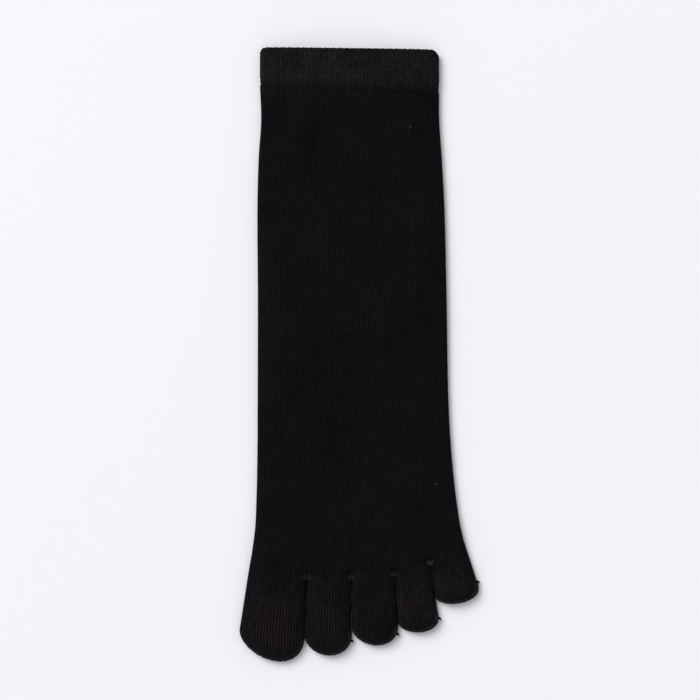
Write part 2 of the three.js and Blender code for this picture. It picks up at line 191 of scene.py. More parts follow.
# %% Sizes of the leg and foot
CUFF_WIDTH = 93.2
CUFF_HEIGHT = 20.0
CUFF_WALL = 2.0
CUFF_THICKNESS = 9.6
CUFF_SLOPE = 1.2
CUFF_CORNER = 1.7
LEG_WIDTH = 98.2
LEG_THICKNESS = 8.6
BALL_WIDTH = 118.8
TUBE_LENGTH = 257.0
TOE_LINE_DROP = 20.0
KNIT_WALL = 1.3
FOLD_RADIUS = 1.9
WEB_THICKNESS = 2 * KNIT_WALL
WEB_DEPTH = 7.0
JOINT_GAP = 0.3
TUBE_OUTLINE = {
    "down": [0.0, 0.069, 0.142, 0.239, 0.433, 0.652, 0.749, 0.846, 0.895, 0.943, 1.0, 1.04],
    "cuff": [1.0, 0.994, 0.62, 0.2, 0.0, 0.0, 0.0, 0.0, 0.0, 0.0, 0.0, 0.0],
    "leg": [0.0, 0.0, 0.38, 0.8, 1.0, 0.94, 0.86, 0.7, 0.57, 0.33, 0.0, -0.16],
    "ball": [0.0, 0.0, 0.0, 0.0, 0.0, 0.06, 0.14, 0.3, 0.43, 0.67, 1.0, 1.16],
    "drift": [0.002, 0.005, 0.005, 0.008, 0.014, 0.018, 0.024, 0.033, 0.039, 0.046, 0.054, 0.058],
}


def smooth_curve(at, height):
    """A smooth curve through heights at places in rising order."""
    slope = np.diff(height) / np.diff(at)
    tangent = np.concatenate([slope[:1], (slope[1:] + slope[:-1]) / 2, slope[-1:]])

    def curve(down):
        down = np.clip(down, at[0], at[-1])
        i = np.clip(np.searchsorted(at, down, side="right") - 1, 0, len(at) - 2)
        step = at[i + 1] - at[i]
        t = (down - at[i]) / step
        start = (1 + 2 * t) * (1 - t) ** 2 * height[i] + t * (1 - t) ** 2 * step * tangent[i]
        end = t**2 * (3 - 2 * t) * height[i + 1] - t**2 * (1 - t) * step * tangent[i + 1]
        return start + end

    return curve


outline = {name: np.array(column) for name, column in TUBE_OUTLINE.items()}
mixed_width = CUFF_WIDTH * outline["cuff"] + LEG_WIDTH * outline["leg"] + BALL_WIDTH * outline["ball"]
half_width_at = smooth_curve(outline["down"], mixed_width / 2)
drift_at = smooth_curve(outline["down"], BALL_WIDTH * outline["drift"])

# %% [markdown]
# From the drawing to the frame
# The formulas measure from the middle of the cuff's top edge. The frame puts its origin under the
# middle of the whole sock, so everything is moved by one offset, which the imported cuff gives.

# %% Offset into the frame
cuff_low, cuff_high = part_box("cuff")
ORIGIN = np.array([(cuff_low.x + cuff_high.x) / 2 / MM - drift_at(0.0), cuff_high.y / MM, 0.0])
print("cuff's middle lies at", ORIGIN.round(2), "mm")


def tube_plan(along, across):
    """Plan position of the tube's cloth: along is 0 to 1 from cuff to toe line, across is -1 to 1."""
    sooner = TOE_LINE_DROP * np.maximum(0, across) ** 2 * np.maximum(0, along) ** 6
    down = TUBE_LENGTH * along - sooner
    x = drift_at(down / TUBE_LENGTH) + half_width_at(down / TUBE_LENGTH) * across
    return x, -CUFF_HEIGHT - down


# %% [markdown]
# A flat tube has two folds
# A sock that lies flat is two layers joined by a tight fold down each side. Seen end on, the cloth
# curls up from the floor with the fold's radius and then runs nearly level over the middle. These
# small functions draw that section, and every piece of the sock uses them. The second also keeps
# relief away from the edges, so that it leaves the outline alone.

# %% The flat section
def smooth_step(value, low, high):
    t = np.clip((value - low) / (high - low), 0, 1)
    return t * t * (3 - 2 * t)


def near_middle(across, power=8):
    """1 over the middle of a layer, falling to 0 at its two edges. A higher power falls later."""
    return 1 - np.minimum(1, abs(across)) ** power


def points_at(x, y, z):
    return np.stack([x, y, z], axis=-1)


def fold_rise(distance, radius):
    """How far the cloth curls up at a distance in from its edge."""
    return np.sqrt(np.maximum(0, radius**2 - np.maximum(0, radius - distance) ** 2))


def puff_share(across):
    return near_middle(across, 4) ** 0.7


# %% [markdown]
# Ribs set the mesh's columns
# Plain knitting shows upright ribs, one for each needle of the machine. This fine black knit has
# nearly ninety across each layer. The mesh gets its columns from the ribs, four to a rib, spaced
# evenly along the cloth and not along the picture, so that the ribs crowd towards the folds just as
# they do on a real tube seen from above. One ring of columns runs over the upper layer from the big
# toe's side and back underneath.

# %% Columns and rings
RIBS = 86  # upright ribs across one layer
RIB_COLUMNS = 4
FINE_STEPS = 4001  # steps with which the cloth's run across the leg is measured


def even_places(count):
    """Places from -1 to 1 across the leg that are evenly spaced along its cloth."""
    fine = -np.cos(np.linspace(0, np.pi, FINE_STEPS))
    half = LEG_WIDTH / 2
    rise = fold_rise(half * (1 - abs(fine)), FOLD_RADIUS)
    rise = rise + (LEG_THICKNESS - 2 * FOLD_RADIUS) * puff_share(fine)
    run = np.concatenate([[0], np.cumsum(np.hypot(np.diff(half * fine), np.diff(rise)))])
    return np.interp(np.linspace(0, run[-1], count + 1), run, fine)


def around(values):
    """Values over the upper layer, and the same again over the lower one on the way back."""
    return np.concatenate([values, values[-2:0:-1]])


def ring_around(across):
    """Place across of each column of a ring, and whether the column is on the upper layer."""
    ring = around(across)
    return ring, np.arange(len(ring)) < len(across)


places = even_places(RIBS * RIB_COLUMNS)
ring_across, ring_upper = ring_around(places)
tube_ribs = np.arange(len(ring_across) + 1) / RIB_COLUMNS
print("columns in a ring:", len(ring_across))

# %% [markdown]
# Furrows and gentle waves
# The ribs stand out because the cloth sinks between them. Only the furrows are pressed in, so the
# crests keep the sock's true outline. On top of that, cotton never lies quite flat, and its ribs never
# run quite straight. A few long, low waves of seeded random direction lift the cloth, and a second set
# of shorter ones makes the ribs stray sideways by a fraction of their width.

# %% Surface relief
FURROW_DEPTH = 0.34
TOE_FURROW_DEPTH = 0.58  # at the toe line
WAVE_HEIGHT = 0.16
WAVES = 9
RIB_SWAY = 0.1  # in ribs


def seeded_waves(chance, shortest, longest):
    """Waves in random directions, added up at a place in plan. Their lengths are in mm."""
    turns = chance.uniform(0, np.pi, WAVES)
    lengths = chance.uniform(shortest, longest, WAVES)
    shifts = chance.uniform(0, 2 * np.pi, WAVES)

    def waves(x, y):
        total = 0
        for turn, length, shift in zip(turns, lengths, shifts):
            total = total + np.sin((x * np.cos(turn) + y * np.sin(turn)) * 2 * np.pi / length + shift)
        return total / np.sqrt(WAVES)

    return waves


chance = np.random.default_rng(11)
long_waves = seeded_waves(chance, 22, 70)
sway_waves = seeded_waves(np.random.default_rng(23), 9, 32)


def cloth_wave(x, y):
    return WAVE_HEIGHT * long_waves(x, y)


def back_to_start(rows):
    """Rows of values with the first of each added again at its end."""
    return np.concatenate([rows, rows[:, :1]], axis=1)


def sway_ribs(ribs, rings):
    """The ribs' numbers along each ring, one more than it has points, with their straying added."""
    return ribs + back_to_start(RIB_SWAY * sway_waves(rings[..., 0], rings[..., 1]))


def unit(vectors):
    """Vectors made one long. One without a length stays as it is."""
    return vectors / np.maximum(np.linalg.norm(vectors, axis=-1, keepdims=True), 1e-9)


def outward(points):
    """Unit directions out of a surface of closed rings."""
    across = np.roll(points, -1, axis=1) - np.roll(points, 1, axis=1)
    return unit(np.cross(np.gradient(points, axis=0), across))


def press_furrows(points, ribs, depth):
    """The surface with a furrow between each two ribs. depth is one number or one for each point."""
    furrow = (1 + np.cos(2 * np.pi * ribs)) / 2
    return points - np.broadcast_to(depth * furrow, points.shape[:2])[..., None] * outward(points)


# %% [markdown]
# From rings to a mesh
# A knitted wall has an outer and an inner face. If the rings run up the inside and down the outside,
# one grid of four-sided faces makes the whole wall, and closing the grid on itself adds both rims.
# Points that fall together, as at the round tip of a toe, are merged. The cut rims are marked sharp, so
# that the shading of the knitted face isn't bent by them and runs on from foot to toe. The mesh also
# gets a map, one step sideways for each rib and one step lengthways for each row of stitches, and how
# strong the painted highlight on each ring's crests is. The knitted material reads both.

# %% Mesh helper
COURSE = 0.95  # length of one row of stitches
MERGE_DISTANCE = 1e-4


def face_corners(grid):
    """The values of a grid at the four corners of each of its faces."""
    return np.stack([grid[:-1, :-1], grid[1:, :-1], grid[1:, 1:], grid[:-1, 1:]], axis=2)


def ring_mesh(name, rings, ribs, courses, closed, sharp_rings=(), tone_and_highlight=1.0):
    """A mesh over rings of points in mm. ribs has one value more for a ring than it has points."""
    count, size = rings.shape[:2]
    ids = back_to_start(np.arange(count * size).reshape(count, size))
    courses = back_to_start(np.broadcast_to(np.reshape(courses, (count, -1)), (count, size)))
    maps = np.stack([np.broadcast_to(ribs, courses.shape), courses], axis=-1)
    if closed:
        ids, maps = (np.concatenate([grid, grid[:1]]) for grid in (ids, maps))
    face_maps = face_corners(maps).reshape(-1, 4, 2)

    keys = np.round(rings.reshape(-1, 3) / MERGE_DISTANCE).astype(np.int64)
    _, first, merged = np.unique(keys, axis=0, return_index=True, return_inverse=True)
    faces = merged.reshape(-1)[face_corners(ids).reshape(-1, 4)]
    face_list, map_list = [], []
    for face, face_map in zip(faces.tolist(), face_maps.tolist()):
        keep = [k for k in range(4) if face[k] != face[k - 1]]
        if len({face[k] for k in keep}) == len(keep) >= 3:
            face_list.append([face[k] for k in keep])
            map_list.extend(face_map[k] for k in keep)

    mesh = bpy.data.meshes.new(name)
    vertices = (rings.reshape(-1, 3)[first] + ORIGIN) * MM
    mesh.from_pydata(vertices.tolist(), [], face_list)
    layer = mesh.uv_layers.new(name="knitting")
    layer.data.foreach_set("uv", np.asarray(map_list, dtype=np.float32).reshape(-1))
    mesh.polygons.foreach_set("use_smooth", np.ones(len(mesh.polygons), dtype=bool))
    # Strength of the painted highlight on the crests, at each point.
    ring_highlight = np.broadcast_to(np.reshape(tone_and_highlight, (-1, 1)), (count, size)).reshape(-1)[first]
    mesh.attributes.new("tone_and_highlight", "FLOAT", "POINT").data.foreach_set("value", ring_highlight.astype(np.float32))
    on_rim = np.zeros(len(vertices), dtype=bool)
    on_rim[merged.reshape(count, size)[list(sharp_rings)].reshape(-1)] = True
    ends = np.zeros(2 * len(mesh.edges), dtype=np.int32)
    mesh.edges.foreach_get("vertices", ends)
    sharp = on_rim[ends.reshape(-1, 2)].all(axis=1)
    mesh.attributes.new("sharp_edge", "BOOLEAN", "EDGE").data.foreach_set("value", sharp)
    mesh.update()
    return mesh


def add_piece(name, mesh, material, nodes=()):
    """One piece of the sock, riding on its body and standing for the solids that it replaces."""
    made = put_in_scene(name, mesh)
    mesh.materials.append(material)
    if nodes:
        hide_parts(*nodes)
    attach(made, "root")
    print(name, len(mesh.polygons), "faces,", [round(size / MM, 1) for size in made.dimensions], "mm")


# %% [markdown]
# The knitted cotton
# Under a lens, plain knitting is rows of small V shapes, each two legs of yarn. A chart of them as
# a picture would be the quick way, but formulas on the mesh's own map stay sharp at any distance:
# within a rib, the distance from its middle leans each row of stitches up or down, and that is the
# V. Black cotton takes nearly all light. The crests of the ribs get a painted highlight and the
# furrows a painted shade, over the shade that their pressed-in relief gives. Each stitch took the dye
# a little differently, and here and there a speck of lint sits in the knitting.

# %% Knit material
STITCH_LEAN = 1.1
LEG_FROM_MIDDLE = 0.24
LEG_NARROWING = 4.0
ROW_RELIEF = 0.4  # against the roundness of a stitch's legs
FIBRES = (2600.0, 3.0, 0.7)  # scale, detail and roughness
STREAKS = (0.9, 2.0)  # scale and detail
CLOUDS = (45.0, 6.0, 0.68)
FIBRE_HEIGHT = 1.1
STREAK_STRETCH = (1.0, 0.16, 1.0)  # a streak runs along its rib
STREAK_WEIGHT = 2.0
CLOUD_WEIGHT = 2.7
LEAST_TONE_AND_HIGHLIGHT = 0.1
LINT_SHARE = 0.0002  # share of the stitches that hold a speck of lint
LINT_TONE = (0.050, 0.046, 0.052, 1.0)


def knit_material(name, furrow_shade_tone, crest_highlight_tone, fuzz, stitch_depth, patchiness, row_shade):
    """Plain knitting of black yarn, with a painted highlight on the rib crests and a painted shade in the
    furrows. patchiness sets how much one stitch differs from the next in tone.
    """
    material, tree, shader = new_material(name)

    def maths(*values):
        return calculate(tree, *values)

    chart_map = add_node(tree, "ShaderNodeUVMap", uv_map="knitting").outputs[0]
    chart = add_node(tree, "ShaderNodeSeparateXYZ", {0: chart_map})
    rib = maths("FRACT", chart.outputs["X"])
    from_middle = maths("ABSOLUTE", maths("SUBTRACT", rib, 0.5))
    row = maths("MULTIPLY_ADD", from_middle, STITCH_LEAN, chart.outputs["Y"])

    leg_wave = maths("SINE", maths("MULTIPLY", row, 2 * np.pi))
    off_leg = maths("MULTIPLY", maths("SUBTRACT", from_middle, LEG_FROM_MIDDLE), LEG_NARROWING)
    leg_round = maths("SUBTRACT", 1.0, maths("MULTIPLY", off_leg, off_leg))
    stitch = maths("MULTIPLY_ADD", leg_wave, ROW_RELIEF, leg_round)
    place = add_node(tree, "ShaderNodeTexCoord").outputs["Object"]
    yarn = noise(tree, place, *FIBRES)
    height = maths("MULTIPLY_ADD", yarn, FIBRE_HEIGHT, stitch)
    relief = {"Height": height, "Strength": 0.9, "Distance": stitch_depth * MM}
    bump = add_node(tree, "ShaderNodeBump", relief)
    tree.links.new(bump.outputs[0], shader.inputs["Normal"])

    cell = {"X": maths("FLOOR", chart.outputs["X"]), "Y": maths("FLOOR", row)}
    cell = add_node(tree, "ShaderNodeCombineXYZ", cell).outputs[0]
    each_stitch = add_node(tree, "ShaderNodeTexWhiteNoise", {"Vector": cell}, noise_dimensions="2D")
    each_stitch = each_stitch.outputs["Value"]
    stretched = {"Vector": chart_map, "Scale": STREAK_STRETCH}
    stretched = add_node(tree, "ShaderNodeMapping", stretched).outputs[0]
    # The stitches' random tone, streaks and clouds make the painted crest highlight patchy.
    least = 1 - (patchiness + STREAK_WEIGHT + CLOUD_WEIGHT) / 2  # the sum is then 1 on average
    tone_and_highlight = maths("MULTIPLY_ADD", each_stitch, patchiness, least)
    tone_and_highlight = maths("MULTIPLY_ADD", noise(tree, stretched, *STREAKS), STREAK_WEIGHT, tone_and_highlight)
    tone_and_highlight = maths("MULTIPLY_ADD", noise(tree, place, *CLOUDS), CLOUD_WEIGHT, tone_and_highlight)
    tone_and_highlight = maths("MAXIMUM", tone_and_highlight, LEAST_TONE_AND_HIGHLIGHT)
    # The mesh sets how strong the painted crest highlight is on each ring.
    ring_highlight = add_node(tree, "ShaderNodeAttribute", attribute_name="tone_and_highlight").outputs["Fac"]
    crest = maths("SUBTRACT", 1.0, maths("MULTIPLY", from_middle, 2.0))
    in_row = maths("MULTIPLY_ADD", leg_wave, row_shade / 2, 1 - row_shade / 2)
    tone = maths("MULTIPLY", crest, in_row)
    tone = maths("MULTIPLY", tone, maths("MULTIPLY", tone_and_highlight, ring_highlight))
    # Painted light: the crests blend towards the pale crest tone, a painted highlight, and the furrows
    # keep the dark furrow tone, a painted shade.
    base = mix_tones(tree, tone, (*furrow_shade_tone, 1.0), (*crest_highlight_tone, 1.0), clamp=False)

    lint = maths("GREATER_THAN", each_stitch, 1 - LINT_SHARE)
    flecked = mix_tones(tree, maths("MULTIPLY", lint, yarn), base, LINT_TONE)
    tree.links.new(flecked, shader.inputs["Base Color"])

    shader.inputs["Roughness"].default_value = 0.85
    shader.inputs["Specular IOR Level"].default_value = 0.03
    shader.inputs["Sheen Weight"].default_value = fuzz
    shader.inputs["Sheen Roughness"].default_value = 0.55
    shader.inputs["Sheen Tint"].default_value = (0.88, 0.80, 0.92, 1.0)
    return material


knit = knit_material(
    "black_knit", furrow_shade_tone=(0.0025, 0.0020, 0.0027), crest_highlight_tone=(0.0081, 0.0063, 0.0085),
    fuzz=0.012, stitch_depth=0.2, patchiness=0.5, row_shade=0.2,
)
welt = knit_material(
    "elastic_welt", furrow_shade_tone=(0.0036, 0.0031, 0.0038), crest_highlight_tone=(0.0190, 0.0163, 0.0198),
    fuzz=0.018, stitch_depth=0.26, patchiness=1.2, row_shade=0.7,
)
thread = knit_material(
    "seam_thread", furrow_shade_tone=(0.0120, 0.0106, 0.0126), crest_highlight_tone=(0.0620, 0.0560, 0.0650),
    fuzz=0.03, stitch_depth=0.08, patchiness=0.8, row_shade=0.4,
)

# %% [markdown]
# Where the toes begin
# Each toe takes its share of the toe line. Its two sides run straight down the slits, each slit
# with its own lean, and then the nose closes it with half an ellipse. On the real sock the toes lie
# against each other, so the slits are only a hair wide here. How full a toe is at its root comes
# first, because the foot already swells towards it.

# %% Sizes of the toes
TOE_LENGTH = 43.0
TOE_THICKNESS = 8.0
TOE_FOLD_RADIUS = 1.8
TOE_ROOT = 24.0
ROOT_THICKNESS = 0.9
SLIT = 0.03
ROUNDNESS = 2.9
BIG_TOE_EDGE_LEAN = -0.155
# The second-last column sets how strong the painted highlight on a toe's crests is.
TOE_COLUMNS = ("name", "share", "inner", "outer", "nose", "lean", "tip", "puff", "tone_and_highlight", "furrow")
TOE_ROWS = [
    ("big_toe", 0.263, 0.58, 0.69, 0.33, -0.04, 0.085, 1.06, 2.1, 0.7),
    ("second_toe", 0.194, 0.69, 0.61, 0.26, 0, 0.03, 1, 1.7, 0.6),
    ("third_toe", 0.192, 0.56, 0.6, 0.225, 0.06, 0.03, 1, 1.6, 0.75),
    ("fourth_toe", 0.165, 0.55, 0.59, 0.175, 0.17, 0.045, 0.97, 2.3, 0.9),
    ("little_toe", 0.186, 0.39, 0.47, 0.185, 0.32, 0.075, 0.98, 2.0, 0.95),
]
TOES = [dict(zip(TOE_COLUMNS, row)) for row in TOE_ROWS]


def place_toes():
    """Adds to each toe where it lies on the toe line and how its sides run."""
    start, inner_lean = -1.0, BIG_TOE_EDGE_LEAN
    for i, toe in enumerate(TOES):
        toe["from"], toe["to"], toe["inner_lean"] = start, start + 2 * toe["share"], inner_lean
        toe["inner_set_in"] = 0 if i == 0 else SLIT / 2
        toe["outer_set_in"] = 0 if i == len(TOES) - 1 else SLIT / 2
        toe["straight"] = (toe["inner"] + toe["outer"]) / 2 * TOE_LENGTH
        start, inner_lean = toe["to"], toe["lean"]


def toe_ends(toe, station):
    """Plan centre, direction and half width of a toe, from its root, 0, to its nose's start, 1."""
    along = 1 + min(0, station) * TOE_ROOT / TUBE_LENGTH
    left = np.array(tube_plan(along, toe["from"]))
    right = np.array(tube_plan(along, toe["to"]))
    inner_run = toe["inner"] * TOE_LENGTH * max(0, station)
    outer_run = toe["outer"] * TOE_LENGTH * max(0, station)
    left = left + np.array([inner_run * toe["inner_lean"], -inner_run])
    right = right + np.array([outer_run * toe["lean"], -outer_run])
    side = (right - left) / np.linalg.norm(right - left)
    left, right = left + side * toe["inner_set_in"], right - side * toe["outer_set_in"]
    return (left + right) / 2, side, np.linalg.norm(right - left) / 2


def reach_across(toe, station, x, y, inset=0.0):
    """How far across a toe a place in plan is: -1 and 1 at its two sides."""
    centre, side, half = toe_ends(toe, station)
    return ((x - centre[0]) * side[0] + (y - centre[1]) * side[1]) / (half - inset)


def toe_height(toe, reach, station, inset=0.0):
    """Height of a toe's upper layer above the floor, from its middle, reach 0, to its edge, reach 1."""
    grown = ROOT_THICKNESS + (1 - ROOT_THICKNESS) * smooth_step(station, -1, 0)
    crown = np.maximum(JOINT_GAP, grown * toe["puff"] * TOE_THICKNESS - TOE_FOLD_RADIUS - inset)
    return TOE_FOLD_RADIUS + crown * np.sqrt(np.maximum(0, 1 - np.minimum(1, abs(reach)) ** ROUNDNESS))


place_toes()

# %% [markdown]
# The heel under the leg
# When a sock is pressed flat, its heel folds into a half-round pouch under the leg. The leg climbs
# on to the pouch and a soft lump shows through the instep. These formulas lift the lower layer clear
# of the pouch and raise the upper one a little.

# %% Sizes of the heel
HEEL_WIDTH = 84.0
HEEL_DEPTH = 36.0
HEEL_THICKNESS = 2 * KNIT_WALL + 0.6
HEEL_LIFT = HEEL_THICKNESS + JOINT_GAP
HEEL_FROM_CUFF = 119.0
HEEL_RAMP = 26.0
HEEL_SHOW = 3.0
HEEL_SIDE = 0.88
HEEL_TIP = HEEL_FROM_CUFF - HEEL_DEPTH


def heel_lift(y, across, shift):
    from_cuff = -CUFF_HEIGHT - y
    turn_up = HEEL_FROM_CUFF + shift
    climb = smooth_step(from_cuff, HEEL_TIP - HEEL_RAMP, HEEL_TIP - 2 * JOINT_GAP)
    turn = 1 - smooth_step(from_cuff, turn_up - KNIT_WALL / 2, turn_up + KNIT_WALL / 2)
    return HEEL_LIFT * climb * turn * (1 - smooth_step(abs(across), HEEL_SIDE, 1))


def heel_show(y, across):
    from_cuff = -CUFF_HEIGHT - y
    climb = smooth_step(from_cuff, HEEL_TIP - HEEL_RAMP, HEEL_TIP)
    fall = 1 - smooth_step(from_cuff, HEEL_FROM_CUFF, HEEL_FROM_CUFF + 2 * HEEL_RAMP)
    return HEEL_SHOW * climb * fall * near_middle(across, 4)


# %% [markdown]
# Dents and gathers under the cuff
# The elastic pulls the knitting in, so small gathers fan out just below the cuff, more of them on
# the little toe's side. On the big toe's side the cloth has sunk in two slanting dents with a ridge
# between them. The webs between the toes draw the cloth together too, in small creases that fan out
# from each. A dent is a soft bell-shaped hollow, a gather is a fading wave, and so is a crease, but
# one that counts its waves round a point.

# %% Dents and gathers
DENT_DEPTH = 2.0
DENTS = [  # place across and down, how wide and long, turn in degrees, height
    (-0.78, 0.05, 0.11, 0.075, 25, -1.0),
    (-0.52, 0.078, 0.07, 0.12, 20, 0.7),
    (-0.34, 0.108, 0.065, 0.16, 12, -0.8),
    (0.72, 0.035, 0.08, 0.07, -10, -0.6),
]
GATHER_HEIGHT = 0.16
GATHER_LENGTH = 11.0


def dent_height(along, across):
    total = 0
    for place, down, wide, long, turn, height in DENTS:
        turn = radians(turn)
        dx = (across - place) * LEG_WIDTH / 2
        dy = (along - down) * TUBE_LENGTH
        sideways = (dx * np.cos(turn) + dy * np.sin(turn)) / (wide * LEG_WIDTH)
        lengthways = (dy * np.cos(turn) - dx * np.sin(turn)) / (long * LEG_WIDTH)
        total = total + height * DENT_DEPTH * np.exp(-(sideways**2) - lengthways**2)
    return total * near_middle(across)


def ripple(x, *waves):
    """Waves across the sock added up, each given by its length in mm and its shift."""
    return sum(np.sin(2 * np.pi * x / length + shift) for length, shift in waves)


def gather_height(along, across):
    """Small upright gathers under the cuff, from three waves that don't repeat together."""
    waves = ripple(across * LEG_WIDTH / 2, (5.3, 0.4), (3.7, 2.0), (8.9, 0.0))
    more = 0.6 + 0.9 * smooth_step(across, 0.4, 0.9)
    return GATHER_HEIGHT * more * waves * np.exp(-np.maximum(0, along) * TUBE_LENGTH / GATHER_LENGTH)


WEB_CREASES = 7
WEB_CREASE_HEIGHT = 0.3
WEB_CREASE_REACH = 3.6


def web_crease(x, y):
    """Small creases that fan out from the webs between the toes."""
    height = 0
    for number, toe in enumerate(TOES[:-1]):
        web_x, web_y = tube_plan(1.0, toe["to"])
        distance = np.hypot(x - web_x, y - web_y)
        turn = np.arctan2(y - web_y, x - web_x)
        height = height + np.cos(WEB_CREASES * turn + number) * np.exp(-distance / WEB_CREASE_REACH)
    return WEB_CREASE_HEIGHT * height


def toe_relief(x, y, reach, inset):
    """Waves and creases of a toe's upper face. Its inner face has none."""
    return (cloth_wave(x, y) + web_crease(x, y)) * near_middle(reach) if inset == 0 else 0


# %% [markdown]
# Leg and foot, one knitted tube
# Leg and foot are knitted in one go, so they are one mesh here, standing for the two solids. Its
# upper layer is the higher of two forms: the plain tube, which closes down to the stitched webs at
# the toe line, and the swelling of each toe's root. A plain maximum of the two would leave a crease,
# so they are blended over a small height. The top end is tucked up inside the cuff, whose lower edge
# hangs a little further down on the little toe's side.

# %% Leg and foot
BLEND_HEIGHT = 1.6
TUCK = 1.5  # how far the leg reaches up inside the cuff
TUCK_INSET = 0.4
ROW_STEP = 2.9
SEAM_ROW_STEP = 0.5
CUFF_DROP = 0.5  # how much further down than its solid the cuff reaches, at its two edges
CUFF_DROP_FAR = 4.2
UNDER_CUFF_STEP = 0.8  # stretch over which the leg sinks in under the cuff
LEG_TOP_HIGHLIGHT = 0.35  # how much stronger the painted highlight on the leg's crests is just under the cuff
LEG_TOP = 9.0  # stretch over which this fades
ROOT_HIGHLIGHT = 1.5  # how much stronger the painted highlight on the crests is at the toe line than on the foot
TOE_BLEND = 12.0  # stretch over which furrows and tone change, on either side of the toe line


def cuff_drop(across):
    """How far the cuff's lower edge hangs below its solid."""
    return CUFF_DROP + (CUFF_DROP_FAR - CUFF_DROP) * ((across + 1) / 2) ** 1.2


def blended_maximum(first, second):
    """The higher of two forms, with the crease where they meet filled in."""
    near = np.maximum(0, BLEND_HEIGHT - abs(first - second)) / BLEND_HEIGHT
    return np.maximum(first, second) + near**2 * BLEND_HEIGHT / 4


def toe_root_height(along, x, y, inset):
    """Height of the toes' roots at each column of one row of the foot."""
    station = (along - 1) * TUBE_LENGTH / TOE_ROOT
    height = np.full(len(x), -1.0)
    if station < -1:
        return height
    for toe in TOES:
        reach = reach_across(toe, station, x, y, inset)
        root = toe_height(toe, reach, station, inset) + toe_relief(x, y, reach, inset)
        height = np.where(abs(reach) < 1, root, height)
    return height


def tube_ring(along, inset, across, upper):
    """One ring of the tube. inset is 0 on its outer face and KNIT_WALL on its inner one."""
    radius = FOLD_RADIUS - inset
    edge = half_width_at(along) - inset
    x, y = tube_plan(along, across * edge / half_width_at(along))
    rise = fold_rise(edge * (1 - abs(across)), radius)
    full = rise + (LEG_THICKNESS - 2 * FOLD_RADIUS) * puff_share(across)
    relief = dent_height(along, across) + heel_show(y, across)
    if inset < KNIT_WALL:
        relief = relief + (gather_height(along, across) + cloth_wave(x, y)) * near_middle(across)
    closing = smooth_step((1 - along) * TUBE_LENGTH, 0, WEB_DEPTH)
    web = np.minimum(WEB_THICKNESS - FOLD_RADIUS - inset, full)
    top = FOLD_RADIUS + web * (1 - closing) + (full + relief) * closing
    top = blended_maximum(top, toe_root_height(along, x, y, inset))
    bottom = FOLD_RADIUS - rise + heel_lift(y, across, inset)
    return points_at(x, y, np.where(upper, top, bottom))


def tube_rings(rows, inset):
    return np.stack([tube_ring(down / TUBE_LENGTH, inset, ring_across, ring_upper) for down in rows])


def tube_rows(first, last, step):
    """Rows of the tube in millimetres from the cuff, closer together where the heel's fold turns up."""
    turn = HEEL_FROM_CUFF + np.array([-0.6, -0.3, 0.0, 0.3, 0.6, 1.0, 1.4, 1.9]) * KNIT_WALL
    even = np.linspace(first, last, int(round((last - first) / step)) + 1)
    even = even[(even < turn[0] - step / 2) | (even > turn[-1] + step / 2)]
    return np.sort(np.concatenate([even, turn]))


seam_rows = np.arange(-TUCK, CUFF_DROP_FAR + ROW_STEP, SEAM_ROW_STEP)
outer_rows = np.concatenate([seam_rows, tube_rows(seam_rows[-1] + ROW_STEP, TUBE_LENGTH, ROW_STEP)])
outer = tube_rings(outer_rows, 0)
under_cuff = smooth_step(cuff_drop(ring_across) - JOINT_GAP - outer_rows[:, None], 0, UNDER_CUFF_STEP)
near_toes = smooth_step(outer_rows[:, None], TUBE_LENGTH - TOE_BLEND, TUBE_LENGTH)
depth = FURROW_DEPTH * (1 - under_cuff) + (TOE_FURROW_DEPTH - FURROW_DEPTH) * near_toes
inner_rows = tube_rows(-TUCK, TUBE_LENGTH - 2 * KNIT_WALL, 5 * ROW_STEP)[::-1]
inner = tube_rings(inner_rows, KNIT_WALL)
rings = np.concatenate([inner, outer])
ribs = sway_ribs(tube_ribs, rings)
outer = press_furrows(outer, ribs[len(inner):, :-1], depth)
rings[len(inner):] = outer - (TUCK_INSET * under_cuff)[..., None] * outward(outer)
rows = np.concatenate([inner_rows, outer_rows])
rims = (0, len(inner) - 1, len(inner), len(rings) - 1)
# Strength of the painted highlight on the crests, stronger just under the cuff and at the toe line.
tone_and_highlight = 1 + LEG_TOP_HIGHLIGHT * (1 - smooth_step(rows, 0, LEG_TOP))
tone_and_highlight += (ROOT_HIGHLIGHT - 1) * smooth_step(rows, TUBE_LENGTH - TOE_BLEND, TUBE_LENGTH)
courses = -rows / COURSE
mesh = ring_mesh("leg_and_foot_knit", rings, ribs, courses, closed=True, sharp_rings=rims, tone_and_highlight=tone_and_highlight)
add_piece("leg_and_foot_knit", mesh, knit, ("leg", "foot"))

# %% [markdown]
# A sleeve with a round nose
# A toe sleeve and the heel pocket are the same kind of thing: a flat bag with straight sides and a
# round end. The ribs run straight down the bag until the curved edge cuts them off, so each column
# is as long as the nose's ellipse lets it be. A narrow seam runs round just inside the edge of the
# nose, where the knitting is closed. The last function makes a bag's wall from its two faces.

# %% Sleeve rings
NOSE_ROWS = 16
INNER_ROWS = 4  # rows along a sleeve's plain inner face, and then along the nose's
INNER_NOSE_ROWS = 6
NOSE_BEND = 1.6  # above 1, a nose leaves its toe's sides smoothly and leans further on
NOSE_RAGGED = 0.016  # share of its length by which a nose's edge wavers
NOSE_RAG_TURNS = (29, 47)
ROOT_SHIFT_END = 0.35  # how far along a toe its columns are back in even order
SEAM_SET_IN = 1.3
SEAM_WIDTH = 0.35
SEAM_DEPTH = 0.4
SEAM_START = (0.1, 0.4)  # the seam's groove begins over this stretch of the nose
SEAM_FADE_POWER = 12
EDGE_FADE_POWER = 24


def seam_dip(distance, share):
    """Depth of the seam's groove at a distance in from the edge, share 0 to 1 of its full depth."""
    return SEAM_DEPTH * share * np.exp(-(((distance - SEAM_SET_IN) / SEAM_WIDTH) ** 2))


